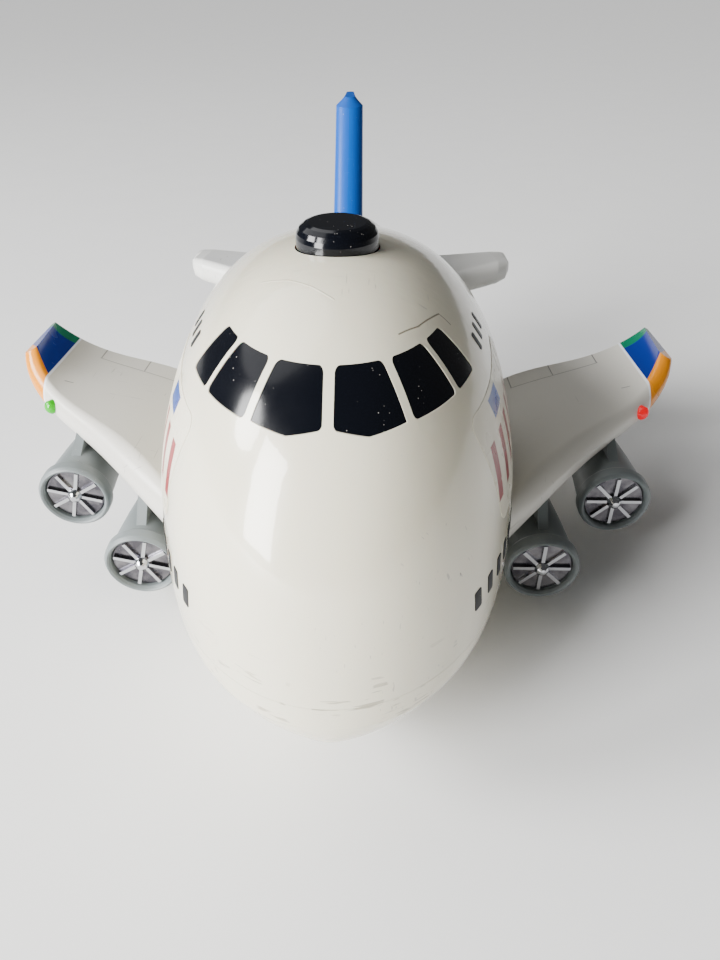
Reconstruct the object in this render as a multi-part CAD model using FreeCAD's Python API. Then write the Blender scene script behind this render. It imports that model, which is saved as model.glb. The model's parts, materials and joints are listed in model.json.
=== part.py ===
import FreeCAD, Part
import math
import os

# Toy jumbo jet, millimetres.  The nose points to -Y, the wings to -X and +X, up is +Z.
# The origin is on the floor, under the middle of the body, where the wheels touch.

V = FreeCAD.Vector
UP = V(0, 0, 1)
BACK = V(0, 1, 0)
SIDEWAYS = V(1, 0, 0)

# ---- driving sizes of the body ----
NOSE_Y = -118.0
TAIL_Y = 118.0
CROWN_Y = -30.0
CROWN_Z = 130.7
BELLY_Z = 9.0
NOSE_Z = 40.5
HALF_WIDTH = 53.0
WAIST_Z = 58.7
TAIL_Z = 88.0
SEAM_Z = 47.5
WALL = 2.2

# ---- windscreen ----
SCREEN_AXIS_Y = -53.0
SCREEN_LOW = 109.2
SCREEN_HIGH = 119.6
PILLAR = 1.8
PILLAR_ANGLES = (0.0, 29.0, 57.0)
SCREEN_END_ANGLE = 79.0
INSERT = 1.2

# ---- fin ----
FIN_TOP_Z = 146.2

# ---- wheels and axles ----
MAIN_Y = 30.0
MAIN_R = 10.0
MAIN_WIDTH = 7.0
MAIN_INNER_X = 17.0
NOSE_GEAR_Y = -78.0
NOSE_R = 8.0
NOSE_WIDTH = 7.0
AXLE_R = 1.5
RUN = 0.05

# ---- engines ----
LIP_R = 13.0
LIP_BORE_R = 10.7
NACELLE_LENGTH = 36.0
ENGINES = {"inner": (69.4, -39.1, 20.4), "outer": (98.4, -14.7, 31.1)}
FAN_R = 10.2
FAN_BLADES = 8
FAN_PIN_R = 1.0

# ---- push button ----
BUTTON_R = 11.2
BUTTON_TOP_R = 8.4
BUTTON_TOP_Z = 136.2
BUTTON_TRAVEL = 2.5
BOARD_Z = 108.0

# ---- battery compartment ----
DOOR = (38.0, 54.0, 2.0)
DOOR_Y = -15.0
CELL_R = 5.25
CELL_LENGTH = 44.5
CELL_PITCH = 11.2
CELL_Z = 17.2

os.makedirs("parts", exist_ok=True)


def save(name, shape):
    shape.exportStep("parts/" + name + ".step")
    print(name, len(shape.Solids), "solids, volume", round(shape.Volume), shape.isValid())


def box(x0, x1, y0, y1, z0, z1):
    return Part.makeBox(x1 - x0, y1 - y0, z1 - z0, V(x0, y0, z0))


def rod(radius, length, start, direction):
    return Part.makeCylinder(radius, length, V(*start), direction)


def fused(first, *others):
    return first.multiFuse(list(others)).removeSplitter()


def mirrored(shape):
    return shape.mirror(V(0, 0, 0), SIDEWAYS)


def turned(outline, centre, direction):
    """Spin an (out, along) outline round an axis through centre."""
    points = [V(out, 0, along) for out, along in outline]
    face = Part.Face(Part.makePolygon(points + points[:1]))
    solid = face.revolve(V(0, 0, 0), UP, 360)
    turn = FreeCAD.Rotation(UP, direction)
    solid.Placement = FreeCAD.Placement(V(*centre), turn)
    return solid


# ---- body: an egg with a crown, drawn from four side and plan curves ----

def share(value, low, high):
    return min(1.0, max(0.0, (value - low) / (high - low)))


def smooth(t):
    return t * t * (3 - 2 * t)


def arch(t, power):
    """1 at t = 0, dropping to 0 at t = 1 like the end of an egg."""
    return max(0.0, 1 - t ** power) ** 0.5


def station(y, inset):
    """Half width, crown, belly and waist heights, and belly roundness at y."""
    nose = NOSE_Y + inset
    tail = TAIL_Y - inset
    half = (HALF_WIDTH - inset) * arch(share(-y, 31, -nose), 2.2)
    half -= (HALF_WIDTH - 9) * share(y, -10, 118) ** 1.6
    front = arch(share(-y, -CROWN_Y, -nose), 2.6)
    crown = NOSE_Z + (CROWN_Z - inset - NOSE_Z) * front
    crown -= (CROWN_Z - 97) * smooth(share(y, CROWN_Y, 118)) ** 0.9
    front = arch(share(-y, 55, -nose), 2.15)
    belly = NOSE_Z - (NOSE_Z - BELLY_Z - inset) * front
    belly += 72 * share(y, 10, 118) ** 1.7
    waist = NOSE_Z + (WAIST_Z - NOSE_Z) * share(y, nose, CROWN_Y - 4)
    waist += (TAIL_Z - WAIST_Z) * share(y, CROWN_Y - 4, 118)
    close = arch(share(y, 106, tail), 2.0)
    crown = waist + (crown - waist) * close
    belly = waist + (belly - waist) * close
    belly_power = 1.5 + 0.8 * smooth(share(y, -85, -35))
    return half * close, crown, belly, waist, belly_power


def ring(y, inset):
    half, crown, belly, waist, belly_power = station(y, inset)
    points = []
    count = 24
    for k in range(count):
        angle = 2 * math.pi * k / count - math.pi / 2
        across, rise = math.cos(angle), math.sin(angle)
        power = 2.16 if rise >= 0 else belly_power
        reach = crown - waist if rise >= 0 else waist - belly
        x = half * math.copysign(abs(across) ** (2 / power), across)
        z = waist + reach * math.copysign(abs(rise) ** (2 / power), rise)
        points.append(V(x, y, z))
    curve = Part.BSplineCurve()
    curve.interpolate(Points=points, PeriodicFlag=True,
                      Parameters=[k / count for k in range(count + 1)])
    return Part.Wire([curve.toShape()])


def body(inset):
    nose = NOSE_Y + inset
    tail = TAIL_Y - inset
    front = [nose + (CROWN_Y - nose) * (1 - math.cos(math.radians(a)))
             for a in (1.2, 4, 8, 13, 20, 28, 37, 47, 58, 70)]
    middle = [CROWN_Y + 19 * k for k in range(8)]
    back = [106 + (tail - 106) * math.sin(math.radians(a)) for a in (20, 42, 62, 78, 87)]
    rings = [ring(y, inset) for y in front + middle + back]
    return Part.makeLoft(rings, True, False)


outer = body(0)
inner = body(WALL)
deep = body(WALL + INSERT)
hollow = outer.cut(inner)


# ---- windscreen: six panes standing up from one black strip behind the shell ----

def spoke(angle, out, aside):
    turn = math.radians(angle)
    x = out * math.sin(turn) + aside * math.cos(turn)
    y = SCREEN_AXIS_Y - out * math.cos(turn) + aside * math.sin(turn)
    return x, y


def wedge(start, end, low, high, gap):
    near, far = 15.0, 62.0
    corners = [spoke(start, near, gap), spoke(start, far, gap),
               spoke(end, far, -gap), spoke(end, near, -gap)]
    points = [V(x, y, low) for x, y in corners]
    return Part.Face(Part.makePolygon(points + points[:1])).extrude(V(0, 0, high - low))


def pane_cutters(grow):
    """The three window openings of one side, each with rounded corners."""
    ends = PILLAR_ANGLES[1:] + (SCREEN_END_ANGLE,)
    cutters = []
    for start, end in zip(PILLAR_ANGLES, ends):
        gap = PILLAR / 2 - grow if start else 1.3 - grow
        block = wedge(start, end, SCREEN_LOW - grow, SCREEN_HIGH + grow, gap)
        if start == 0:
            sill = [V(0, -140, 100), V(0, -140, 110.3 - grow), V(9.2, -140, 108.6 - grow),
                    V(22, -140, 109.9 - grow), V(22, -140, 100)]
            block = wedge(start, end, 107.0, SCREEN_HIGH + grow, gap)
            block = block.cut(Part.Face(Part.makePolygon(sill + sill[:1])).extrude(V(0, 120, 0)))
        long_edges = [e for e in block.Edges
                      if e.Length > 40 and abs(e.Vertexes[0].Z - e.Vertexes[1].Z) < 8]
        cutters.append(block.makeFillet(1.2, long_edges))
    return cutters + [mirrored(c) for c in cutters]


band = box(-60, 60, -130, SCREEN_AXIS_Y - 3, SCREEN_LOW - 2.5, SCREEN_HIGH + 1.8)
panes = Part.makeCompound(pane_cutters(0.0)).common(body(0.15).cut(inner))
strip = inner.cut(deep).common(band)
windscreen_insert = fused(strip, *panes.Solids)
save("windscreen_insert", windscreen_insert)


# ---- wings, stabilisers and fin: blunt front, flat flanks, thin trailing edge ----

def teardrop_half(front, r_front, back, r_back, normal):
    """Closed outline of one face of a wing section, from the chord line outwards."""
    chord = back - front
    along = V(chord).normalize()
    lean = (r_front - r_back) / chord.Length
    out = normal * math.sqrt(1 - lean * lean) + along * lean
    front_mid = (out - along).normalize()
    back_mid = (out + along).normalize()
    start, end = front - along * r_front, back + along * r_back
    edges = [Part.Arc(start, front + front_mid * r_front, front + out * r_front).toShape(),
             Part.LineSegment(front + out * r_front, back + out * r_back).toShape(),
             Part.Arc(back + out * r_back, back + back_mid * r_back, end).toShape(),
             Part.LineSegment(end, start).toShape()]
    return Part.Wire(edges)


def whole_outline(halves):
    """Two half outlines joined into one, without the chord line between them."""
    edges = [edge for half in halves for edge in half.Edges[:3]]
    return Part.Wire(Part.__sortEdges__(edges))


def panel(stations, side, thinner=0.0, ruled=False):
    """Half a wing (side 1 is the top, -1 the bottom) or a whole one (side 0).

    Each station gives x, front y and z, front radius, back y and z, and tilt.
    """
    wires = []
    for x, y, z, r, y_back, z_back, tilt in stations:
        lean = math.radians(tilt)
        normal = V(-math.sin(lean), 0, math.cos(lean))
        back = V(x, y_back - 4 * thinner, z_back)
        halves = [teardrop_half(V(x, y, z), r - thinner, back, max(1.1 - thinner, 0.4), normal * face)
                  for face in ((1, -1) if side == 0 else (side,))]
        wires.append(halves[0] if side else whole_outline(halves))
    return Part.makeLoft(wires, True, ruled)


WING = [(36.0, -53.0, 37.0, 8.0, 49.0, 35.5, 10),
        (60.0, -28.5, 41.2, 7.1, 54.0, 40.4, 12),
        (98.4, 8.4, 49.0, 5.2, 62.8, 49.0, 15),
        (112.5, 20.8, 51.9, 4.6, 65.5, 53.0, 20),
        (121.0, 30.2, 56.8, 4.0, 67.0, 57.4, 42),
        (125.6, 40.2, 64.0, 3.2, 64.4, 63.6, 62)]
wing_top = panel(WING, 1)
wing_bottom = panel(WING, -1)
wing_room = panel(WING[:4], 0, 1.8)
wing_top = wing_top.cut(outer).cut(wing_room)
wing_bottom = wing_bottom.cut(outer).cut(wing_room)

# The lamp on each wing: a domed lens let into the leading edge, its diode behind it.
LAMP_AT = V(112.3, 15.4, 51.6)
LAMP_AXIS = V(0.50, -0.84, 0.05).normalize()
LENS_R = 2.6
lens = Part.makeCylinder(LENS_R, 3.4, LAMP_AT - LAMP_AXIS * 2.8, LAMP_AXIS)
dome = Part.makeSphere(LENS_R * 1.12, LAMP_AT - LAMP_AXIS * 0.7)
ahead = Part.makeCylinder(LENS_R, 6.0, LAMP_AT + LAMP_AXIS * 0.6, LAMP_AXIS)
lens = fused(lens, dome.common(ahead))
diode = fused(Part.makeCylinder(1.5, 3.5, LAMP_AT - LAMP_AXIS * 6.4, LAMP_AXIS),
              Part.makeSphere(1.5, LAMP_AT - LAMP_AXIS * 2.9 - LAMP_AXIS * 1.6),
              Part.makeCylinder(1.9, 1.0, LAMP_AT - LAMP_AXIS * 7.4, LAMP_AXIS))
lamp_room = fused(Part.makeCylinder(LENS_R + 0.03, 12.0, LAMP_AT - LAMP_AXIS * 2.83, LAMP_AXIS),
                  Part.makeCylinder(2.0, 8.0, LAMP_AT - LAMP_AXIS * 7.6, LAMP_AXIS))
wing_top = wing_top.cut(lamp_room)
wing_bottom = wing_bottom.cut(lamp_room)

wing_tenon = box(38, 53, -18, 30, 34.5, 37.5)
wing_slot = box(37, 54, -18.1, 30.1, 34.4, 37.6)
wing_bottom = fused(wing_bottom, wing_tenon.cut(wing_top))

TAIL = [(12.0, 58.0, 76.5, 5.3, 106.0, 76.5, 0),
        (64.0, 89.0, 78.6, 4.8, 112.0, 78.6, 0),
        (68.2, 92.0, 78.8, 3.9, 111.2, 78.8, 0),
        (69.8, 95.0, 78.9, 2.3, 109.6, 78.9, 0)]
stabiliser = fused(panel(TAIL, 1, 0.0, True), panel(TAIL, -1, 0.0, True)).cut(outer)
tail_tenon = box(14, 30, 82, 98, 75.4, 78.4)
tail_slot = box(13.9, 30, 81.9, 98.1, 75.3, 78.5)
stabiliser = fused(stabiliser, tail_tenon)


def fin_ring(z, trim):
    """Upright teardrop outline of the fin at height z, drawn in by trim."""
    nose_y = 0.77 * z - 21.0 + trim
    tail_y = 112.0 - trim
    radius = 5.8 - (z - 96.0) * 0.012 - trim
    front, back = V(0, nose_y + radius, z), V(0, tail_y - 1.5, z)
    return whole_outline([teardrop_half(front, radius, back, 1.5, SIDEWAYS * side)
                          for side in (1, -1)])


fin = Part.makeLoft([fin_ring(96, 0), fin_ring(FIN_TOP_Z - 2.8, 0)], True, True)
fin_cap = Part.makeLoft([fin_ring(FIN_TOP_Z - 2.8, 0), fin_ring(FIN_TOP_Z, 3.2)], True, True)
fin_tenon = box(-2, 2, 76, 100, 88, 110)
fin_slot = box(-2.1, 2.1, 75.9, 100.1, 88, 125)
fin = fused(fin.cut(outer), fin_cap, fin_tenon)


# ---- push button on the crown, with its spring, switch and board ----

spring_low, spring_high = BOARD_Z + 1.6, 124.9
button = turned([(0, 133.4), (9.6, 133.4), (9.6, 124.9), (13.2, 124.9), (13.2, 126.3),
                 (BUTTON_R, 126.3), (BUTTON_R, 132.4), (10.9, 133.6), (10.2, 134.8),
                 (BUTTON_TOP_R + 0.5, 135.8), (BUTTON_TOP_R - 0.6, BUTTON_TOP_Z), (0, BUTTON_TOP_Z)],
                (0, CROWN_Y, 0), UP)
plunger_top = spring_low + 6.6
stem = rod(2.6, 133.9 - plunger_top - BUTTON_TRAVEL - 0.3,
           (0, CROWN_Y, plunger_top + BUTTON_TRAVEL + 0.3), UP)
push_button = fused(button, stem)
save("push_button", push_button)

push_switch = fused(box(-6, 6, CROWN_Y - 6, CROWN_Y + 6, spring_low, spring_low + 3.6),
                    rod(3.0, 3.0, (0, CROWN_Y, spring_low + 3.6), UP))
save("push_switch", push_switch)


def coil(mean_r, wire_r, low, high, turns, centre_x, centre_y):
    rise = high - low - 2 * wire_r
    path = Part.makeLongHelix(rise / turns, rise, mean_r, 0, False)
    start = Part.Wire(Part.makeCircle(wire_r, V(mean_r, 0, 0), BACK))
    spring = Part.Wire(path.Edges).makePipeShell([start], True, True)
    spring.translate(V(centre_x, centre_y, low + wire_r))
    return spring


save("button_spring", coil(11.2, 0.45, spring_low, spring_high, 5, 0, CROWN_Y))

board_posts = [(x, CROWN_Y + y) for x in (-18, 18) for y in (-13, 13)]
board = box(-22, 22, CROWN_Y - 17, CROWN_Y + 17, BOARD_Z, BOARD_Z + 1.6)
for x, y in board_posts:
    board = board.cut(rod(1.2, 4, (x, y, BOARD_Z - 1), UP))
chip = box(-14, -8, CROWN_Y + 4, CROWN_Y + 12, BOARD_Z - 1.5, BOARD_Z)
save("circuit_board", fused(board, chip))


def screw(x, y, head_z, length, shank_r, head_r, head_h, up=UP):
    """Pan head screw pointing along up, its head resting at head_z."""
    body_rod = rod(shank_r, length, (x, y, head_z), up)
    head = rod(head_r, head_h, (x, y, head_z), up * -1)
    slot_z = head_z - up.z * head_h
    low, high = sorted((slot_z, slot_z + up.z * 0.7))
    slots = fused(box(x - 1.3, x + 1.3, y - 0.3, y + 0.3, low, high),
                  box(x - 0.3, x + 0.3, y - 1.3, y + 1.3, low, high))
    return fused(body_rod, head).cut(slots)


save("board_screws", Part.makeCompound([screw(x, y, BOARD_Z, 7.0, 1.0, 2.0, 1.2)
                                        for x, y in board_posts]))

# ---- upper shell: cut in small steps, each one a real feature ----
SHELL_SCREWS = [(-33.0, -48.0), (33.0, -48.0), (-16.0, 60.0), (16.0, 60.0)]
SCREW_REST = 38.0
SEAM_GAP = 0.1

upper = hollow.common(box(-80, 80, -140, 140, SEAM_Z + SEAM_GAP, 160))
for opening in [rod(BUTTON_R + 0.35, 30, (0, CROWN_Y, 115), UP), fin_slot, tail_slot,
                mirrored(tail_slot)] + pane_cutters(0.06):
    upper = upper.cut(opening)
legs = [rod(2.6, 25, (x, y, spring_low), UP).cut(rod(1.0, 5.6, (x, y, spring_low), UP))
        for x, y in board_posts]
legs += [rod(3.4, 90, (x, y, SEAM_Z), UP).cut(rod(1.2, 10, (x, y, SEAM_Z), UP))
         for x, y in SHELL_SCREWS]
for leg in legs:
    upper = upper.fuse(leg.common(inner))
save("upper_shell", upper)

# ---- belly shell: battery box, undercarriage blocks, switch seat and speaker ring ----
DOOR_X, DOOR_LENGTH, DOOR_THICK = DOOR
door_front, door_back = DOOR_Y - DOOR_LENGTH / 2, DOOR_Y + DOOR_LENGTH / 2
cell_front = door_front + 2.6
switch_y = -55.0
speaker_y, speaker_z, speaker_r = 52.0, 36.0, 13.0

belly = hollow.common(box(-80, 80, -140, 140, 0, SEAM_Z))
pad = box(-DOOR_X / 2 - 3, DOOR_X / 2 + 3, door_front - 3, door_back + 3, BELLY_Z, BELLY_Z + 4)
tray = box(-19.5, 19.5, door_front - 1.5, door_back + 1.5, BELLY_Z + 3, 25.0)
axle_block = box(-15.5, 15.5, MAIN_Y - 6, MAIN_Y + 6, 5.6, 20).cut(inner)
cheeks = box(-7.2, 7.2, NOSE_GEAR_Y - 5, NOSE_GEAR_Y + 5, 4.2, 16).cut(inner)
switch_seat = box(-9, 9, switch_y - 4.5, switch_y + 4.5, BELLY_Z + 1.0, 14.0).common(inner)
speaker_ring = rod(speaker_r + 1.6, 40, (0, speaker_y, 2), UP).common(
    inner.common(box(-30, 30, 30, 80, 0, speaker_z + 2.5)))
screw_posts = [rod(4.2, SEAM_Z, (x, y, 0), UP).common(inner) for x, y in SHELL_SCREWS]
for addition in [pad, tray, axle_block, cheeks, switch_seat, speaker_ring] + screw_posts:
    belly = belly.fuse(addition)

door_hole = box(-DOOR_X / 2 - 0.15, DOOR_X / 2 + 0.15, door_front - 0.15, door_back + 0.15,
                BELLY_Z - 3, BELLY_Z + DOOR_THICK + 0.05)
cell_room = box(-17.6, 17.6, door_front + 0.5, door_front + 48.5, BELLY_Z, 23.4)
wheel_wells = [box(x - 0.2, x + MAIN_WIDTH + 1.2, MAIN_Y - 11.2, MAIN_Y + 11.2, 0, 22)
               for x in (MAIN_INNER_X, -MAIN_INNER_X - MAIN_WIDTH - 1.0)]
nose_well = box(-4.1, 4.1, NOSE_GEAR_Y - 9.2, NOSE_GEAR_Y + 9.2, 0, 17.4)
speaker_seat = rod(speaker_r + 0.1, 12, (0, speaker_y, speaker_z - 2.5), UP)
speaker_room = rod(speaker_r - 1.5, 60, (0, speaker_y, 0), UP).common(inner)
grille = [rod(1.0, 40, (x * 4.2, speaker_y + y * 4.2, 0), UP)
          for x in (-2, -1, 0, 1, 2) for y in (-2, -1, 0, 1, 2) if x * x + y * y < 7]
removals = [door_hole, cell_room, nose_well, speaker_seat, speaker_room] + wheel_wells + grille
removals += [rod(AXLE_R + RUN, 40, (-20, MAIN_Y, MAIN_R), SIDEWAYS),
             rod(1.25, 20, (-10, NOSE_GEAR_Y, NOSE_R), SIDEWAYS),
             rod(1.0, 10, (0, door_back - 3.4, BELLY_Z + DOOR_THICK), UP),
             box(-4.2, 4.2, switch_y - 1.6, switch_y + 1.6, 0, 11.8),
             box(-7.0, 7.0, switch_y - 2.4, switch_y + 2.4, 11.8, 14.5),
             wing_slot, mirrored(wing_slot)]
for x, y in SHELL_SCREWS:
    removals += [rod(1.6, SEAM_Z, (x, y, 0), UP), rod(3.0, SCREW_REST, (x, y, 0), UP)]
for removal in removals:
    belly = belly.cut(removal)
save("belly_shell", belly)

save("shell_screws", Part.makeCompound([screw(x, y, SCREW_REST, 18.0, 1.2, 2.6, 1.6)
                                        for x, y in SHELL_SCREWS]))

# ---- battery door, its screw, three cells and their contacts ----
door = box(-DOOR_X / 2, DOOR_X / 2, door_front, door_back, BELLY_Z, BELLY_Z + DOOR_THICK)
ribs = [box(-8, 8, y - 0.5, y + 0.5, BELLY_Z - 0.01, BELLY_Z + 0.5) for y in (-34, -31, -28)]
for rib in ribs:
    door = door.cut(rib)
door_screw_y = door_back - 3.4
door = door.cut(rod(1.35, 6, (0, door_screw_y, BELLY_Z - 1), UP))
door = door.cut(rod(2.4, 0.9, (0, door_screw_y, BELLY_Z), UP))
save("battery_door", door)
save("door_screw", screw(0, door_screw_y, BELLY_Z + 0.9, 7.0, 1.0, 2.2, 0.8))

for number, column in enumerate((-1, 0, 1), 1):
    x = column * CELL_PITCH
    flip = 1 if column else -1
    middle_y = cell_front + CELL_LENGTH / 2 + 0.3
    can = rod(CELL_R, CELL_LENGTH - 0.8, (x, middle_y - (CELL_LENGTH - 0.8) / 2, CELL_Z), BACK)
    nub_y = middle_y + flip * ((CELL_LENGTH - 0.8) / 2)
    nub = rod(1.9, 0.8, (x, nub_y, CELL_Z), BACK * flip)
    save("battery_cell_" + str(number), fused(can, nub))
plates = [box(-16.5, 16.5, y, y + 0.4, CELL_Z - 4, CELL_Z + 4)
          for y in (door_front + 0.5, door_front + 48.1)]
save("contact_plates", Part.makeCompound(plates))

# ---- slide switch in the belly ----
SWITCH_TRAVEL = 3.0
slide = fused(box(-1.5, 1.5, switch_y - 1.3, switch_y + 1.3, BELLY_Z - 1.2, 12.2),
              box(-3.1, 4.1, switch_y - 2.1, switch_y + 2.1, 12.1, 13.3))
slide.translate(V(-SWITCH_TRAVEL / 2, 0, 0))
save("power_slider", slide)
save("switch_body", box(-9, 9, switch_y - 4.5, switch_y + 4.5, 14.0, 19.0).cut(
    box(-7.0, 7.0, switch_y - 2.4, switch_y + 2.4, 13.9, 14.6)))

# ---- speaker ----
speaker = turned([(0, 0), (speaker_r, 0), (speaker_r, 1.4), (8.5, 3.2), (8.5, 6.0), (0, 6.0)],
                 (0, speaker_y, speaker_z - 2.5), UP)
save("speaker", speaker)

# ---- wheels ----
TYRE = 3.6


def wheel_hub(radius, width, bore_r, start_x, y):
    rim = radius - TYRE
    outline = [(bore_r, 0), (rim, 0), (rim, width), (rim - 1.2, width), (rim - 1.6, width - 1.6),
               (bore_r + 1.4, width - 1.6), (bore_r + 1.1, width - 0.4), (bore_r, width - 0.4)]
    return turned(outline, (start_x, y, radius), SIDEWAYS)


def tyre(radius, width, start_x, y):
    rim = radius - TYRE
    shoulder = 1.1
    outline = [(rim, 0), (radius - shoulder, 0), (radius - 0.35, 0.35), (radius, shoulder),
               (radius, width / 2 - 0.5), (radius - 0.5, width / 2 - 0.3),
               (radius - 0.5, width / 2 + 0.3), (radius, width / 2 + 0.5),
               (radius, width - shoulder), (radius - 0.35, width - 0.35),
               (radius - shoulder, width), (rim, width)]
    return turned(outline, (start_x, y, radius), SIDEWAYS)


left_hub = wheel_hub(MAIN_R, MAIN_WIDTH, AXLE_R, MAIN_INNER_X, MAIN_Y)
left_tyre = tyre(MAIN_R, MAIN_WIDTH, MAIN_INNER_X, MAIN_Y)
save("wheel_hub_left", left_hub)
save("wheel_hub_right", mirrored(left_hub))
save("tyre_left", left_tyre)
save("tyre_right", mirrored(left_tyre))
axle_half = MAIN_INNER_X + MAIN_WIDTH - 0.4
save("main_axle", rod(AXLE_R, 2 * axle_half, (-axle_half, MAIN_Y, MAIN_R), SIDEWAYS))
nose_hub = wheel_hub(NOSE_R, NOSE_WIDTH, 1.25 + RUN, -NOSE_WIDTH / 2, NOSE_GEAR_Y)
save("nose_wheel_hub", nose_hub)
save("nose_tyre", tyre(NOSE_R, NOSE_WIDTH, -NOSE_WIDTH / 2, NOSE_GEAR_Y))
save("nose_axle", rod(1.25, 14.4, (-7.2, NOSE_GEAR_Y, NOSE_R), SIDEWAYS))

# ---- engines: open nacelle, ribbed fan disc pressed on a pin that turns in a spider ----


def nacelle(x, y, z):
    lip = [(LIP_BORE_R, 1.4), (LIP_BORE_R + 0.5, 0.4), (LIP_BORE_R + 1.1, 0.0),
           (LIP_R - 0.7, 0.3), (LIP_R - 0.15, 1.1), (LIP_R, 2.2), (LIP_R, 4.6),
           (LIP_R - 0.4, 5.4), (LIP_R - 1.2, 5.8)]
    barrel = [(LIP_R - 1.5, 12), (LIP_R - 2.2, 22), (LIP_R - 3.6, NACELLE_LENGTH),
              (LIP_R - 4.6, NACELLE_LENGTH), (LIP_R - 3.8, 22), (LIP_R - 3.2, 9.0),
              (LIP_R - 3.1, 7.2), (LIP_BORE_R, 7.0)]
    tube = turned(lip + barrel, (x, y, z), BACK)
    hub = rod(2.7, 3.0, (x, y + 10, z), BACK)
    arms = box(-0.8, 0.8, 10.2, 12.8, 2.0, 9.9)
    spider = [hub]
    for turn in (0, 120, 240):
        arm = arms.copy()
        arm.rotate(V(0, 0, 0), BACK, turn)
        arm.translate(V(x, y, z))
        spider.append(arm)
    return fused(tube, *spider).cut(rod(FAN_PIN_R + RUN, 20, (x, y, z), BACK))


def fan(x, y, z, spin):
    """Plated disc with a domed boss and raised ribs, pressed on its pin."""
    disc = turned([(FAN_PIN_R, 2.2), (0, 2.2), (0, -1.0), (1.1, -0.75), (2.0, 0.0), (2.6, 1.1),
                   (2.75, 2.4), (FAN_R, 2.4), (FAN_R, 3.4), (2.75, 3.4), (2.75, 9.6),
                   (FAN_PIN_R, 9.6)], (0, 0, 0), BACK)
    ribs = []
    for number in range(FAN_BLADES):
        rib = box(-0.6, 0.6, 1.3, 2.8, 2.2, FAN_R - 0.3)
        rib.rotate(V(0, 0, 0), BACK, spin + 360.0 * number / FAN_BLADES)
        ribs.append(rib)
    whole = fused(disc, *ribs)
    whole.translate(V(x, y, z))
    return whole


# Where each pylon's sloping front edge meets the wing: how far back and how high.
PYLON_FRONTS = {"inner": (-21.5, 42.1), "outer": (6.4, 48.0)}
lower_right, upper_right = mirrored(wing_bottom), mirrored(wing_top)
for place, (x, y, z) in ENGINES.items():
    for side, sign, spin in (("left", 1, 0.0), ("right", -1, 14.5)):
        underside = wing_bottom if sign == 1 else lower_right
        front, height = PYLON_FRONTS[place]
        profile = [V(sign * x - 1.7, y + 6, z + 9.2), V(sign * x - 1.7, front, height),
                   V(sign * x - 1.7, y + 31, height), V(sign * x - 1.7, y + 31, z + 8)]
        pylon = Part.Face(Part.makePolygon(profile + profile[:1])).extrude(V(3.4, 0, 0))
        pod = nacelle(sign * x, y, z)
        room = rod(LIP_R - 2.6, NACELLE_LENGTH, (sign * x, y, z), BACK)
        above = underside.fuse(wing_top if sign == 1 else upper_right)
        stub = pylon.cut(room).cut(above)
        lowest = min(stub.Solids, key=lambda solid: solid.BoundBox.ZMin)
        save("nacelle_" + place + "_" + side, fused(pod, lowest))
        save("fan_" + place + "_" + side, fan(sign * x, y, z, spin))
        pin = fused(rod(FAN_PIN_R, 12.2, (sign * x, y + 2.2, z), BACK),
                    rod(1.9, 1.3, (sign * x, y + 13.3, z), BACK))
        save("fan_pin_" + place + "_" + side, pin)

# ---- wings, lamps, tail ----
for side, flip in (("left", False), ("right", True)):
    for name, shape in (("wing_top", wing_top), ("wing_bottom", wing_bottom),
                        ("lamp_lens", lens), ("lamp_diode", diode), ("stabiliser", stabiliser)):
        save(name + "_" + side, mirrored(shape) if flip else shape)
save("fin", fin)
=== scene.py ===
# %% [markdown]
# # A chubby toy jet
# The frame brings every moulded piece at its true size and place, in metres, with the nose towards -Y.
# This lesson gives each piece its finish, adds the printed windows and side stickers that are too thin
# to be moulded, and lights the toy. Positions come from the boxes of the pieces, so we measure first.

import json
import math

import bpy
from mathutils import Euler, Matrix, Vector


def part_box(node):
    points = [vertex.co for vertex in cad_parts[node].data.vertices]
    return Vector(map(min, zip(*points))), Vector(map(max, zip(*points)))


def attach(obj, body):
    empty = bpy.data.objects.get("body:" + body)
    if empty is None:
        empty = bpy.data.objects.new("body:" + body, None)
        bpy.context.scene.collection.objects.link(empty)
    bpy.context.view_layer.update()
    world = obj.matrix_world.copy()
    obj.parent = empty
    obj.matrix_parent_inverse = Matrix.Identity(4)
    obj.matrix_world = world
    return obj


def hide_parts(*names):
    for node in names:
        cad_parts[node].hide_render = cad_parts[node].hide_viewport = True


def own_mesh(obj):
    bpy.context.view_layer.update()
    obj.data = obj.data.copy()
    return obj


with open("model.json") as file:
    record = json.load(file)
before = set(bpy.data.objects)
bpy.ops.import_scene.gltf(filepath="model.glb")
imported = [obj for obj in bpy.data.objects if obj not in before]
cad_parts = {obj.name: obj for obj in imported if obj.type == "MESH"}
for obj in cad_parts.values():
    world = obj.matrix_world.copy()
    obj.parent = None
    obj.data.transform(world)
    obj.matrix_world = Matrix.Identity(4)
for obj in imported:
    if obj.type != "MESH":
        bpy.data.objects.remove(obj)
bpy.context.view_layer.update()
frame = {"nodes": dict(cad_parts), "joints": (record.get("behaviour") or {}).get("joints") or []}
nodes = frame["nodes"]

# %% [markdown]
# ## Sums on sockets
# A finish is a recipe of masks and noises, and a mask is a number from 0 to 1 at each point. Each Math
# node could be placed and wired by hand, but that hides the recipe. So a small class wraps a socket and
# lets us write `1 - mask` or `a * b`, and each sign adds its own node.

# %% Sums on sockets


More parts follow.
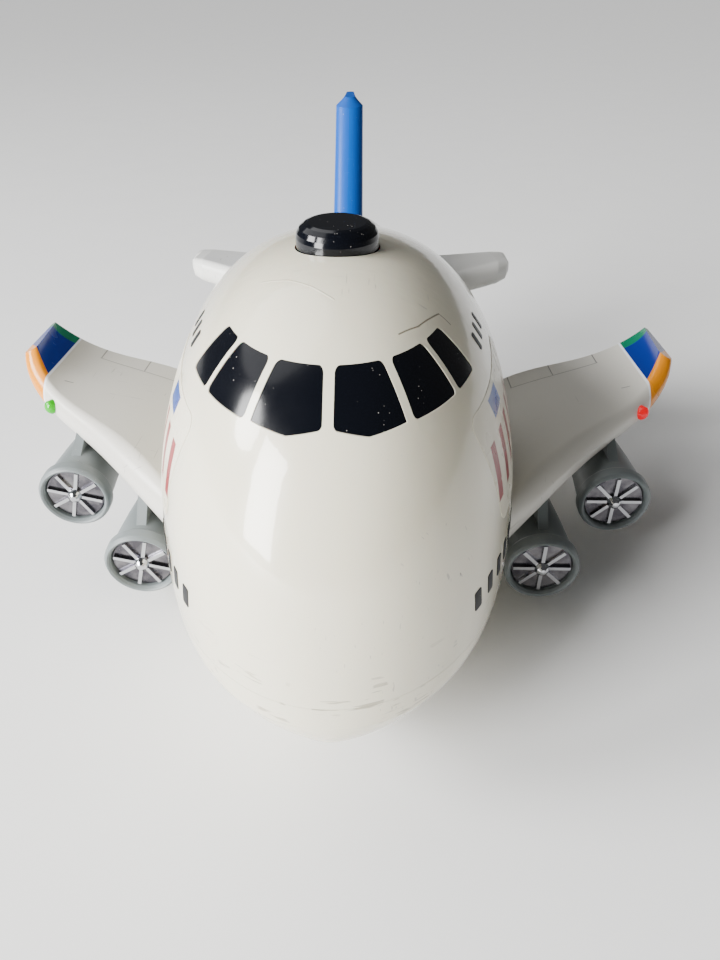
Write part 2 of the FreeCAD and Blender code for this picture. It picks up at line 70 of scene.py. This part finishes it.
class Amount:
    """A number that varies over the surface, used like an ordinary number."""

    def __init__(self, finish, socket):
        self.finish = finish
        self.socket = socket

    def sum_up(self, operation, first, second, clamp=False):
        return self.finish.node("ShaderNodeMath", {"operation": operation, "use_clamp": clamp},
                                {0: first, 1: second})

    def __add__(self, other):
        return self.sum_up("ADD", self, other)

    def __radd__(self, other):
        return self.sum_up("ADD", other, self)

    def __sub__(self, other):
        return self.sum_up("SUBTRACT", self, other)

    def __rsub__(self, other):
        return self.sum_up("SUBTRACT", other, self)

    def __mul__(self, other):
        return self.sum_up("MULTIPLY", self, other)

    def __rmul__(self, other):
        return self.sum_up("MULTIPLY", other, self)

    def size(self):
        return self.sum_up("ABSOLUTE", self, 0.0)

    def lowest(self, other):
        return self.sum_up("MINIMUM", self, other)

    def highest(self, other):
        return self.sum_up("MAXIMUM", self, other)

    def repeat(self, every):
        return self.sum_up("FLOORED_MODULO", self, every)

    def above(self, edge, soft):
        """0 below the edge, 1 above it, with a ramp as wide as soft between."""
        ramp = (self - (edge - soft / 2)) * (1.0 / soft)
        return self.sum_up("ADD", ramp, 0.0, clamp=True)

    def below(self, edge, soft):
        return 1 - self.above(edge, soft)

    def root(self):
        return self.sum_up("SQRT", self, 0.0)


# %% [markdown]
# ## One finish, one material
# `Finish` makes a material with one Principled shader. What is the same all over, such as coat or
# subsurface, is set straight on the shader. What varies is built from nodes and put on a socket.
# Patterns read Object coordinates, which are metres from the toy's origin, because every piece sits at
# that origin. So a stripe can be placed with the same numbers as a piece.

# %% One finish, one material


class Finish:
    """A material: settings on its shader, and nodes that vary colour, gloss and bump."""

    def __init__(self, name, **shader_settings):
        self.material = bpy.data.materials.new(name)
        self.material.use_nodes = True
        self.tree = self.material.node_tree
        self.shader = self.tree.nodes["Principled BSDF"]
        for socket, value in shader_settings.items():
            self.shader.inputs[socket.replace("_", " ")].default_value = value
        place = self.tree.nodes.new("ShaderNodeTexCoord")
        self.place = Amount(self, place.outputs["Object"])
        split = self.tree.nodes.new("ShaderNodeSeparateXYZ")
        self.tree.links.new(place.outputs["Object"], split.inputs[0])
        self.x, self.y, self.z = [Amount(self, out) for out in split.outputs]

    def connect(self, socket, value):
        if isinstance(value, Amount):
            self.tree.links.new(value.socket, socket)
        else:
            socket.default_value = value

    def node(self, kind, settings, inputs, output=0):
        made = self.tree.nodes.new(kind)
        for key, value in settings.items():
            setattr(made, key, value)
        for key, value in inputs.items():
            self.connect(made.inputs[key], value)
        return Amount(self, made.outputs[output])

    def stretched(self, factors, turn=(0.0, 0.0, 0.0)):
        return self.node("ShaderNodeMapping", {},
                         {"Vector": self.place, "Rotation": turn, "Scale": factors})

    def noise(self, scale, detail=2.0, place=None):
        return self.node("ShaderNodeTexNoise", {},
                         {"Vector": place or self.place, "Scale": scale, "Detail": detail})

    def specks(self, scale):
        return self.node("ShaderNodeTexVoronoi", {}, {"Vector": self.place, "Scale": scale})

    def mixed(self, first, second, mask):
        """Colour first where the mask is 0, colour second where it is 1."""
        return self.node("ShaderNodeMix", {"data_type": "RGBA"},
                         {0: mask, 6: first, 7: second}, output=2)

    def put(self, name, value):
        self.connect(self.shader.inputs[name], value)
        return self

    def bump(self, height, depth):
        """depth is how far a height of 1 stands out, in metres. A new bump replaces an old one."""
        for old in self.shader.inputs["Normal"].links:
            self.tree.nodes.remove(old.from_node)
        made = self.node("ShaderNodeBump", {}, {"Height": height, "Distance": depth, "Strength": 1.0})
        return self.put("Normal", made)


def paint(red, green, blue):
    """A colour as a colour picker shows it, turned into the light it reflects."""
    def light(part):
        part = part / 255.0
        return part / 12.92 if part <= 0.04045 else ((part + 0.055) / 1.055) ** 2.4
    return light(red), light(green), light(blue), 1.0


print("mid grey paint reflects", round(paint(128, 128, 128)[0], 3), "of the light")

# %% [markdown]
# ## Wear that every plastic toy shows
# Handled plastic is never one colour: it yellows a little in patches, fingers leave duller smears,
# play leaves hairline scratches, and dust sits in specks. A picture could be painted for each piece,
# but noises need no unwrapping, so one helper gives all four as masks. Scratches are a noise squeezed
# hard in one direction, of which only the highest peaks are kept.

# %% Wear masks


def wear(finish):
    patches = finish.noise(9.0, 2.0)
    smears = finish.noise(38.0, 3.0).above(0.52, 0.22)
    across = finish.noise(1.0, 1.0, finish.stretched((70.0, 1500.0, 260.0), (0.5, 0.3, 0.9)))
    along = finish.noise(1.0, 1.0, finish.stretched((1300.0, 60.0, 300.0), (0.2, 0.7, 0.4)))
    places = finish.noise(24.0, 1.0).above(0.56, 0.08)
    scratches = (across.above(0.735, 0.02) + along.above(0.745, 0.02)) * places
    dust = finish.specks(620.0).below(0.085, 0.03) * finish.noise(55.0, 1.0).above(0.55, 0.1)
    return patches, smears, scratches, dust


# %% Moulded plastic


def moulded_plastic(name, colour, tint, gloss, scratch_shade, grain=0.000012, **shader_settings):
    """Injection moulded plastic: base colour drifting to tint, with wear and a fine skin."""
    finish = Finish(name, IOR=1.5, **shader_settings)
    patches, smears, scratches, dust = wear(finish)
    body = finish.mixed(colour, tint, patches)
    body = finish.mixed(body, scratch_shade, (scratches * 0.55).lowest(1.0))
    body = finish.mixed(body, paint(196, 192, 184), dust * 0.5)
    finish.put("Base Color", body)
    finish.put("Roughness", gloss + smears * 0.10 + scratches * 0.25 + dust * 0.3)
    skin = finish.noise(520.0, 2.0)
    swell = finish.noise(46.0, 1.0)
    finish.relief = skin * 0.35 + swell * 0.65 - scratches * 0.5
    finish.body = body
    finish.bump(finish.relief, grain)
    return finish


# %% Dressing the nodes


def dress(node_names, finish):
    """Give CAD nodes a finish through their material slots."""
    for name in node_names:
        mesh = nodes[name].data
        mesh.materials.clear()
        mesh.materials.append(finish.material)
    print(finish.material.name, "on", len(node_names), "pieces")


def named(*starts):
    return [name for name in nodes if name.startswith(starts)]


# %% [markdown]
# ## Ivory body
# The body is glossy ivory plastic, a little translucent, so light bleeds softly round its curves.
# A weak subsurface setting gives that milkiness, and a clear coat gives the wet shine.

# %% Ivory body
IVORY = paint(238, 232, 210)
IVORY_WARM = paint(229, 221, 196)
SCRATCH_DARK = paint(150, 142, 126)

body_ivory = moulded_plastic("ivory_body", IVORY, IVORY_WARM, 0.16, SCRATCH_DARK,
                             Subsurface_Weight=0.06, Subsurface_Scale=0.004,
                             Coat_Weight=0.8, Coat_Roughness=0.03)

# %% [markdown]
# ## One crack, one rub, and nicks on the nose
# Above the cockpit the shell has a short crack, and a rubbed line on the other side. A crack is the
# ground within a hair of a chain of points. For each straight run we find the share of the run nearest
# to the point being shaded, clamped to its ends, and measure how far off the point is. The nose gets
# its nicks low down, near the seam, where it hits things.

# %% A line of points as a mask
HUMP_BOTTOM = 0.110


def hairline(finish, points, width):
    """A mask along a chain of points, each (x, y) in metres, seen from above."""
    chain = None
    for (x1, y1), (x2, y2) in zip(points, points[1:]):
        run_x, run_y = x2 - x1, y2 - y1
        length = run_x * run_x + run_y * run_y
        from_x, from_y = finish.x - x1, finish.y - y1
        share = finish.node("ShaderNodeMath", {"operation": "MULTIPLY", "use_clamp": True},
                            {0: from_x * run_x + from_y * run_y, 1: 1.0 / length})
        off_x, off_y = from_x - share * run_x, from_y - share * run_y
        piece = (off_x * off_x + off_y * off_y).root().below(width, width)
        chain = piece if chain is None else chain.highest(piece)
    return chain * finish.z.above(HUMP_BOTTOM, 0.001)


# %% Crack, rub and nicks
CRACK_DEPTH = 6.0
RUB_HEIGHT = 5.0
crack = hairline(body_ivory, [(0.0158, -0.0688), (0.0205, -0.0636), (0.0242, -0.0572),
                              (0.0262, -0.0536), (0.0292, -0.0540)], 0.00016)
rub = hairline(body_ivory, [(-0.0185, -0.0482), (-0.0109, -0.0519), (-0.0052, -0.0563),
                            (0.0003, -0.0616)], 0.00022)
streaks = body_ivory.noise(1.0, 2.0, body_ivory.stretched((90.0, 90.0, 900.0)))
nicks = body_ivory.noise(130.0, 1.0).above(0.60, 0.04)
SEAM_Z = 0.047
NOSE_END = -0.095
scuffed = (streaks.above(0.58, 0.05) * nicks * body_ivory.y.below(NOSE_END, 0.03)
           * (body_ivory.z - SEAM_Z).size().below(0.010, 0.010))
skin = body_ivory.mixed(body_ivory.body, paint(140, 130, 108), scuffed * 0.6)
body_ivory.put("Base Color", body_ivory.mixed(skin, paint(96, 84, 66), crack * 0.8))
body_ivory.bump(body_ivory.relief - crack * CRACK_DEPTH + rub * RUB_HEIGHT - scuffed, 0.000012)
dress(["upper_shell", "belly_shell", "battery_door"], body_ivory)

# %% [markdown]
# ## Wings with engraved flaps
# The wings are a slightly greyer satin plastic. Fine grooves mark out the flaps. They could be cut into
# the mesh, but they are a fifth of a millimetre deep, so masks sink them in the bump and darken them
# with painted shade, the shade that would fall inside a real groove.
# `out` is the distance from the middle, so both wings are drawn by the same numbers.

# %% Flap grooves
HINGE_BEFORE_EDGE = 0.009
GROOVE = (0.00022, 0.00012)
FLAP_ENDS = (0.0684, 0.0860, 0.1046)
wing_grey = Finish("wing_satin", IOR=1.48, Coat_Weight=0.15, Coat_Roughness=0.12)
patches, smears, scratches = wear(wing_grey)[:3]
out = wing_grey.x.size()
back_edge = out * 0.229 + 0.0403
hinge = ((wing_grey.y - back_edge + HINGE_BEFORE_EDGE).size().below(*GROOVE)
         * out.above(0.068, 0.0004) * out.below(0.105, 0.0004))
cuts = (out - FLAP_ENDS[0]).size()
for flap_end in FLAP_ENDS[1:]:
    cuts = cuts.lowest((out - flap_end).size())
cuts = cuts.below(*GROOVE) * (wing_grey.y - back_edge).above(-HINGE_BEFORE_EDGE, 0.0004)
mark = ((out - 0.1090).size().below(0.0016, 0.0004)
        * (wing_grey.y - 0.0290).size().below(0.00025, 0.0001))
grooves_bump_and_painted_shade = hinge.highest(cuts).highest(mark)
print("flap ends, mm from the middle:", [round(end * 1000, 1) for end in FLAP_ENDS])

# %% [markdown]
# ## Painted wing tips
# The upturned tips are sprayed through masks: blue over all, green along the back edge, yellow round
# the front edge, and a thin pale line where the masks ended. Separate films could be cut for them, but
# sprayed paint has no thickness worth a film, so hard limits in x and y draw the edges in the material.

# %% Painted wing tips
TIP_START = 0.1166
GREEN_START = 0.0608
YELLOW_SLANT = 1.5
plain = wing_grey.mixed(paint(222, 219, 210), paint(206, 203, 194), patches)
plain = wing_grey.mixed(plain, paint(150, 148, 142), (scratches * 0.5).lowest(1.0))
# painted shade: the grooves are darkened in colour as the shade inside them would darken them
plain = wing_grey.mixed(plain, paint(108, 106, 100), grooves_bump_and_painted_shade * 0.7)
tip = wing_grey.mixed(paint(0, 40, 134), paint(0, 34, 124), patches)
tip = wing_grey.mixed(tip, paint(0, 112, 80), wing_grey.y.above(GREEN_START, 0.0003))
yellow = (wing_grey.y - (out - TIP_START) * YELLOW_SLANT).below(0.0292, 0.0003)
tip = wing_grey.mixed(tip, paint(232, 142, 0), yellow)
plain = wing_grey.mixed(plain, paint(236, 240, 246), out.above(TIP_START - 0.0008, 0.0002))
painted = out.above(TIP_START, 0.0002)
wing_grey.put("Base Color", wing_grey.mixed(plain, tip, painted))
wing_grey.put("Roughness", 0.30 + smears * 0.08 + scratches * 0.2 - painted * 0.08)
wing_grey.bump(wing_grey.noise(420.0, 2.0) * 0.06 - grooves_bump_and_painted_shade + painted * 0.15, 0.00022)
dress(named("wing_"), wing_grey)

# %% [markdown]
# ## Tail, fin, push knob, black panes
# The tail is a whiter plastic than the body, the fin is moulded in blue, and the cockpit panes and the
# knob are black. The same recipe makes them all, in other colours. Black gloss shows dust and smears
# most of all, so it keeps the full wear and a very low roughness.

# %% Other plastics
tail_white = moulded_plastic("tail_white", paint(236, 236, 232), paint(226, 225, 219), 0.28,
                             paint(165, 163, 158), Coat_Weight=0.1, Coat_Roughness=0.15)
dress(named("stabiliser"), tail_white)

fin_blue = moulded_plastic("fin_blue", paint(0, 80, 170), paint(0, 72, 156), 0.36,
                           paint(30, 90, 180), Specular_IOR_Level=0.25)
dress(["fin"], fin_blue)

gloss_black = moulded_plastic("gloss_black", paint(5, 7, 13), paint(10, 12, 18), 0.10,
                              paint(46, 50, 58), grain=0.000006, Specular_IOR_Level=0.42)
dress(["windscreen_insert", "push_button"], gloss_black)

switch_black = moulded_plastic("switch_black", paint(24, 24, 26), paint(32, 32, 34), 0.42,
                               paint(80, 80, 80))
dress(["push_switch", "power_slider", "switch_body"], switch_black)

# %% [markdown]
# ## Engines
# The nacelles are satin grey plastic with a fine spark-eroded grain. The fans are plated plastic:
# the boss and ribs are bright, and the disc behind them is painted a darker mottled grey, a painted
# reflection of a dim, mottled floor in its mirror plating. The disc could be a piece of its own, but a
# mask on depth does as well. The inner and outer fans differ only in how far back they start, so one
# depth, measured from each fan's front, serves all.

# %% Engines
nacelle_grey = moulded_plastic("nacelle_grey", paint(118, 125, 126), paint(106, 113, 114), 0.42,
                               paint(112, 116, 116), grain=0.00003)
dress(named("nacelle_"), nacelle_grey)

# %% Plated fans
DISC_DEPTH = 0.0031
inner_low, inner_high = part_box("fan_inner_left")
outer_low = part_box("fan_outer_left")[0]
front = inner_low[1]
engine_gap = outer_low[1] - front
between = (inner_high[0] + outer_low[0]) / 2
fan_chrome = Finish("plated_chrome", Metallic=1.0)
haze_and_painted_mottle = fan_chrome.noise(180.0, 3.0)
depth = fan_chrome.y - front - fan_chrome.x.size().above(between, 0.0002) * engine_gap
plate = depth.above(DISC_DEPTH, 0.0002)
# painted reflection: the disc's darker mottled grey stands in for a dim floor mirrored in the plating
disc_painted_reflection = fan_chrome.mixed(paint(128, 126, 130), paint(84, 82, 88), haze_and_painted_mottle.above(0.5, 0.25))
bright = fan_chrome.mixed(paint(208, 209, 213), paint(172, 173, 178), haze_and_painted_mottle)
fan_chrome.put("Base Color", fan_chrome.mixed(bright, disc_painted_reflection, plate))
fan_chrome.put("Roughness", 0.06 + haze_and_painted_mottle.above(0.5, 0.3) * 0.14 + plate * 0.10)
fan_chrome.bump(fan_chrome.noise(700.0, 2.0), 0.000012)
dress([name for name in named("fan_") if "pin" not in name], fan_chrome)
print("outer fans stand", round(engine_gap * 1000, 1), "mm behind the inner ones")

# %% [markdown]
# ## Metal pins, screws, spring and contacts
# Drawn wire and turned pins carry fine lines along them. A noise stretched along Y gives the lines,
# and a second noise dulls them in places.

# %% Small metal


def drawn_metal(name, colour, dull, gloss):
    finish = Finish(name, Metallic=1.0)
    lines = finish.noise(1.0, 2.0, finish.stretched((2600.0, 300.0, 2600.0)))
    tarnish = finish.noise(160.0, 2.0)
    finish.put("Base Color", finish.mixed(colour, dull, tarnish.above(0.5, 0.3) * 0.6))
    finish.put("Roughness", gloss + lines * 0.15 + tarnish * 0.1)
    finish.bump(lines, 0.00001)
    return finish


steel = drawn_metal("steel_wire", paint(196, 198, 202), paint(150, 150, 150), 0.18)
dress(named("fan_pin", "main_axle", "nose_axle", "shell_screws", "board_screws", "door_screw",
            "button_spring"), steel)
dress(["contact_plates"],
      drawn_metal("contact_nickel", paint(216, 210, 192), paint(170, 160, 140), 0.22))

# %% [markdown]
# ## Lamps
# Each wing carries a domed coloured lens with a lit diode behind it. A small light inside the lens
# would be the true way, but it is slow and grainy at this size. So the lens is clear plastic that glows
# by itself: a strong base colour, some transmission, and a little light of its own.

# %% Lamps


def lit_lens(name, colour, core, power):
    finish = Finish(name, Transmission_Weight=0.25, IOR=1.49, Emission_Strength=power)
    ripple = finish.noise(900.0, 1.0)
    finish.put("Base Color", finish.mixed(colour, core, ripple * 0.4))
    finish.put("Emission Color", finish.mixed(colour, core, ripple.above(0.45, 0.4) * 0.35))
    finish.put("Roughness", 0.08 + ripple * 0.08)
    finish.bump(ripple, 0.00003)
    return finish


dress(["lamp_lens_right"], lit_lens("green_lens", paint(24, 168, 0), paint(70, 220, 10), 0.32))
dress(["lamp_lens_left"], lit_lens("red_lens", paint(214, 0, 18), paint(255, 10, 40), 0.42))
dress(named("lamp_diode"), lit_lens("clear_diode", paint(235, 235, 225), paint(255, 255, 250), 0.3))

# %% [markdown]
# ## Tyres and hubs
# Rubber is dark, rough and scuffed in patches. The hubs are the same moulded plastic as the body, in
# plain grey.

# %% Rubber and hubs
rubber = Finish("tyre_rubber", IOR=1.45)
scuff = rubber.noise(90.0, 3.0)
rubber.put("Base Color", rubber.mixed(paint(30, 30, 31), paint(62, 60, 58), scuff.above(0.55, 0.2)))
rubber.put("Roughness", 0.62 + scuff * 0.2)
rubber.bump(rubber.noise(1100.0, 2.0), 0.00005)
dress(["tyre_left", "tyre_right", "nose_tyre"], rubber)
dress(["wheel_hub_left", "wheel_hub_right", "nose_wheel_hub"],
      moulded_plastic("hub_grey", paint(176, 178, 180), paint(164, 166, 168), 0.35, paint(120, 120, 120)))

# %% [markdown]
# ## What is inside
# Nobody sees these pieces unless the shell comes off, so a simple finish is enough. The circuit board
# is green lacquer with faint tracks, the cells have a printed jacket, and the speaker is black paper.

# %% Inside pieces
board = Finish("circuit_lacquer", Coat_Weight=0.3)
tracks = ((board.x.repeat(0.0032) - 0.0016).size().below(0.0004, 0.0001)
          .highest((board.y.repeat(0.0041) - 0.002).size().below(0.0003, 0.0001)))
board.put("Base Color", board.mixed(paint(22, 92, 52), paint(38, 122, 70), tracks))
board.put("Roughness", 0.3 + board.noise(200.0) * 0.15)
board.bump(tracks, 0.00003)
dress(["circuit_board"], board)

jacket = Finish("cell_jacket", Metallic=0.3)
band = jacket.y.above(-0.0045, 0.0002)
jacket.put("Base Color", jacket.mixed(paint(44, 46, 50), paint(176, 124, 62), band))
jacket.put("Roughness", 0.25 + jacket.noise(120.0) * 0.15)
jacket.bump(jacket.noise(600.0), 0.00001)
dress(named("battery_cell"), jacket)

cone = Finish("speaker_paper")
rings = cone.noise(1.0, 1.0, cone.stretched((900.0, 900.0, 60.0)))
cone.put("Base Color", cone.mixed(paint(20, 20, 22), paint(40, 40, 42), rings))
cone.put("Roughness", 0.6 + rings * 0.2)
cone.bump(rings, 0.00008)
dress(["speaker"], cone)

# %% [markdown]
# ## Printed cabin windows
# Small black windows run along each flank above the seam, and three more sit beside the crown. They
# are printed, so each could be a mask in the ivory, but a mask would be stretched on the curve of the
# flank. Each is a thin rounded film instead. One film is cut from a plane: its corners are bevelled,
# it is divided so that it can bend, and copies are pressed on to the shell with Shrinkwrap.

# %% Picking one piece, copying a shell


def only(piece):
    """Select this piece and nothing else, as an operator acts on all that is selected."""
    bpy.ops.object.select_all(action="DESELECT")
    piece.select_set(True)
    bpy.context.view_layer.objects.active = piece


def merged_copy(node_name):
    """A CAD piece's mesh with its loose triangles joined, as a form to press films on to or as a stand-in
    copy.
    """
    copy = nodes[node_name].copy()
    copy.data = nodes[node_name].data.copy()
    bpy.context.scene.collection.objects.link(copy)
    copy.parent = None
    only(copy)
    bpy.ops.object.mode_set(mode="EDIT")
    bpy.ops.mesh.select_all(action="SELECT")
    bpy.ops.mesh.remove_doubles(threshold=0.000002)
    bpy.ops.object.mode_set(mode="OBJECT")
    copy.name = "press_form_" + node_name
    return copy


# %% Cutting a film


def film(name, length, height, corner, bites):
    """A flat rounded rectangle standing along Y, divided finely enough to bend."""
    bpy.ops.object.select_all(action="DESELECT")
    bpy.ops.mesh.primitive_plane_add(size=1.0)
    piece = bpy.context.active_object
    piece.name = name
    piece.scale = (height, length, 1.0)
    piece.rotation_euler = (0.0, math.pi / 2, 0.0)
    bpy.ops.object.transform_apply(location=False, rotation=True, scale=True)
    bpy.ops.object.mode_set(mode="EDIT")
    bpy.ops.mesh.select_all(action="SELECT")
    bpy.ops.mesh.bevel(offset=corner, segments=4, affect="VERTICES")
    lengthways, upwards = Vector((0, 1, 0)), Vector((0, 0, 1))
    for size, count, along in ((length, bites[0], lengthways), (height, bites[1], upwards)):
        for number in range(1, count):
            cut = -size / 2 + size * number / count
            bpy.ops.mesh.select_all(action="SELECT")
            bpy.ops.mesh.bisect(plane_co=cut * along, plane_no=along)
    bpy.ops.object.mode_set(mode="OBJECT")
    return piece


# %% Pressing a film on
FILM_SHARE = 0.9


def press_on(piece, form, side, thickness):
    """Press a film on to the shell from outside, then give it its thickness."""
    only(piece)
    wrap = piece.modifiers.new("press", "SHRINKWRAP")
    wrap.wrap_method = "PROJECT"
    wrap.use_project_x = True
    wrap.use_negative_direction = side > 0
    wrap.use_positive_direction = side < 0
    wrap.target = form
    wrap.offset = thickness
    bpy.ops.object.modifier_apply(modifier="press")
    bpy.ops.object.mode_set(mode="EDIT")
    bpy.ops.mesh.select_all(action="SELECT")
    bpy.ops.mesh.normals_make_consistent(inside=False)
    bpy.ops.object.mode_set(mode="OBJECT")
    outwards = sum(face.normal.x * face.area for face in piece.data.polygons) * side > 0
    if not outwards:
        bpy.ops.object.mode_set(mode="EDIT")
        bpy.ops.mesh.select_all(action="SELECT")
        bpy.ops.mesh.flip_normals()
        bpy.ops.object.mode_set(mode="OBJECT")
    wall = piece.modifiers.new("wall", "SOLIDIFY")
    wall.thickness = thickness * FILM_SHARE
    wall.offset = -1.0
    bpy.ops.object.modifier_apply(modifier="wall")
    bpy.ops.object.shade_smooth_by_angle(angle=math.radians(40))


# %% Two rows of windows on each side
WINDOW_PITCH = 0.0066
WINDOW_CORNER = 0.0005
WINDOW_FILM = 0.00018
SIDES = ((1, "left"), (-1, "right"))
ROWS = {"cabin_windows": {"height": 0.0609, "first_y": -0.0935, "count": 25, "size": (0.0029, 0.0062)},
        "crown_windows": {"height": 0.1105, "first_y": -0.0475, "count": 3, "size": (0.0024, 0.0042)}}
shell_form = merged_copy("upper_shell")
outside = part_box("upper_shell")[1][0] + 0.02


def window_row(name, row, side):
    """One row of panes on one side of the shell, pressed on one by one and joined."""
    pattern = film(name, *row["size"], WINDOW_CORNER, (3, 4))
    panes = []
    for number in range(row["count"]):
        pane = pattern.copy()
        pane.data = pattern.data.copy()
        bpy.context.scene.collection.objects.link(pane)
        pane.location = (side * outside, row["first_y"] + number * WINDOW_PITCH, row["height"])
        only(pane)
        bpy.ops.object.transform_apply(location=True, rotation=False, scale=False)
        press_on(pane, shell_form, side, WINDOW_FILM)
        panes.append(pane)
    bpy.data.objects.remove(pattern)
    only(panes[0])
    for pane in panes:
        pane.select_set(True)
    bpy.ops.object.join()
    panes[0].name = name
    print(name, len(panes[0].data.polygons), "faces")
    return panes[0]


printed = [window_row(row + "_" + side_name, ROWS[row], side)
           for row in ROWS for side, side_name in SIDES]

# %% Black print
printed_black = moulded_plastic("printed_black", paint(6, 7, 12), paint(11, 11, 17), 0.34,
                                paint(60, 58, 52), grain=0.000006, Specular_IOR_Level=0.12)
for strip in printed:
    strip.data.materials.append(printed_black.material)
    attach(strip, "airframe")
print(printed_black.material.name, "on", len(printed), "rows")

# %% [markdown]
# ## Side stickers
# A pale vinyl sticker covers each flank above the wing. It carries slanted red bars and one blue
# patch: plain shapes, no letters. The print is worked out from y and z, not from how the sticker is
# unwrapped, so the bars stay straight however the vinyl bends. Where the ink has rubbed off, a noise
# lets the ground through.

# %% Print on the stickers
STICKER_SIZE = (0.052, 0.031)
STICKER_MIDDLE = (-0.0510, 0.0875)
BAR_PITCH = 0.0086
BARS_FROM, BARS_TO = -0.0774, -0.0344
vinyl = Finish("side_sticker", IOR=1.5, Coat_Weight=0.2, Coat_Roughness=0.1)
worn = vinyl.noise(120.0, 3.0)
slant = vinyl.y - (vinyl.z - STICKER_MIDDLE[1]) * 0.25
bars = ((slant.repeat(BAR_PITCH) - BAR_PITCH / 2).size().below(0.0018, 0.0003)
        * slant.above(BARS_FROM, 0.0002) * slant.below(BARS_TO, 0.0002)
        * (vinyl.z - 0.0865).size().below(0.0072, 0.0003))
patch = ((vinyl.y + 0.0585).size().below(0.0052, 0.0003)
         * (vinyl.z - 0.0990).size().below(0.0026, 0.0003))
ground = vinyl.mixed(paint(236, 230, 210), paint(228, 221, 198), worn)
ground = vinyl.mixed(ground, paint(146, 2, 14), bars * worn.below(0.68, 0.05))
vinyl.put("Base Color", vinyl.mixed(ground, paint(14, 70, 150), patch * worn.below(0.7, 0.05)))
vinyl.put("Roughness", 0.22 + worn * 0.12)
vinyl.bump(worn * 0.4 + bars * 0.3, 0.00003)
print("bars on each sticker:", round((BARS_TO - BARS_FROM) / BAR_PITCH))

# %% Side stickers
STICKER_FILM = 0.00014
for side, side_name in SIDES:
    sticker = film("side_sticker_" + side_name, *STICKER_SIZE, 0.004, (26, 15))
    sticker.location = (side * outside, *STICKER_MIDDLE)
    only(sticker)
    bpy.ops.object.transform_apply(location=True, rotation=False, scale=False)
    press_on(sticker, shell_form, side, STICKER_FILM)
    sticker.data.materials.append(vinyl.material)
    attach(sticker, "airframe")
    print(sticker.name, [round(size * 1000, 1) for size in sticker.dimensions])

bpy.data.objects.remove(shell_form)

# %% [markdown]
# ## Spring under the knob
# The knob rides down 2.5 mm on a coil spring that stands on the board. If the coil were rigid, the knob
# would pass through it; on the real toy the spring's foot stays put and its coils close up. Here the
# piece is a joined copy of the coil fixed to the airframe, and the share of its height it would keep,
# as far as the knob travels and a hair more, is worked out but not used.

# %% Spring under the knob
CLEARANCE = 0.0001
press = next(joint for joint in frame["joints"] if joint["name"] == "button_press")
travel = press["range_m"][1]
spring_low, spring_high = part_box("button_spring")
spring = merged_copy("button_spring")
spring.name = "coil_spring"
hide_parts("button_spring")
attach(spring, "airframe")
tall = spring_high[2] - spring_low[2]
(tall - travel - CLEARANCE) / tall
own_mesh(spring)
print("spring", round(tall * 1000, 1), "mm tall, closing by", travel * 1000, "mm")

# %% [markdown]
# ## Floor
# The toy stands on a plain pale floor, wide enough that its edge is far away.

# %% Floor
bpy.ops.object.select_all(action="DESELECT")
bpy.ops.mesh.primitive_plane_add(size=18.0, location=(0, 0, 0))
floor = bpy.context.active_object
floor.name = "floor"
bpy.ops.object.transform_apply(location=True, rotation=True, scale=True)
pale = Finish("pale_floor")
pale.put("Base Color", pale.mixed(paint(247, 247, 246), paint(243, 243, 242), pale.noise(30.0)))
pale.put("Roughness", 0.7 + pale.noise(60.0) * 0.1)
floor.data.materials.append(pale.material)
print("floor", floor.dimensions.x, "m wide")

# %% [markdown]
# ## Light
# A tall bright panel on the toy's right hand side stands for a window and draws the long streak on the
# nose. A soft daylight comes from the same side, a weaker one comes down from the ceiling, and the far
# side stays dim. Sun lights are used for both because they are equally strong all over the floor.

# %% Light
world = bpy.data.worlds.new("soft_room")
bpy.context.scene.world = world
world.use_nodes = True
world.node_tree.nodes["Background"].inputs["Color"].default_value = (1.0, 1.0, 1.0, 1.0)
world.node_tree.nodes["Background"].inputs["Strength"].default_value = 0.09


def panel_light(name, place, target, width, height, power):
    """A rectangle of light that faces the target."""
    light = bpy.data.lights.new(name, "AREA")
    light.shape = "RECTANGLE"
    light.size = width
    light.size_y = height
    light.energy = power
    lamp = bpy.data.objects.new(name, light)
    bpy.context.scene.collection.objects.link(lamp)
    lamp.location = place
    lamp.rotation_euler = (Vector(target) - Vector(place)).to_track_quat("-Z", "Y").to_euler()


def sky_light(name, came_from, softness, strength):
    """A sun as wide as softness, in degrees, so that its shadows blur."""
    light = bpy.data.lights.new(name, "SUN")
    light.angle = math.radians(softness)
    light.energy = strength
    lamp = bpy.data.objects.new(name, light)
    bpy.context.scene.collection.objects.link(lamp)
    lamp.rotation_euler = (-Vector(came_from)).to_track_quat("-Z", "Y").to_euler()


panel_light("window_light", (-0.88, -0.78, 0.48), (0.0, -0.1, 0.09), 0.48, 0.86, 46.0)
sky_light("daylight", (-1.0, -0.10, 0.60), 22.0, 3.5)
sky_light("bounce_from_ceiling", (-0.6, 0.5, 1.0), 50.0, 0.9)
print("lights:", len(bpy.data.lights))

# %% [markdown]
# ## Camera
# The eye is just in front of the nose and above it, looking down at 36 degrees through a moderately
# wide lens, which is what makes the nose so big and the tail so small. The aim is built from three
# turns: down, a little to the side, and a slight roll of the camera about its own axis.

# %% Camera
EYE = (0.00894, -0.22967, 0.19683)
LOOK_DOWN = 35.99
TURN = 0.77
TILT = 0.19
camera_data = bpy.data.cameras.new("camera")
camera_data.lens = 28.01
camera_data.clip_start = 0.01
camera = bpy.data.objects.new("camera", camera_data)
bpy.context.scene.collection.objects.link(camera)
aim = Euler((math.radians(90 - LOOK_DOWN), 0.0, math.radians(TURN))).to_matrix()
aim = aim @ Matrix.Rotation(math.radians(TILT), 3, "Z")
camera.matrix_world = Matrix.Translation(EYE) @ aim.to_4x4()
bpy.context.scene.camera = camera
print("camera", camera_data.lens, "mm lens")
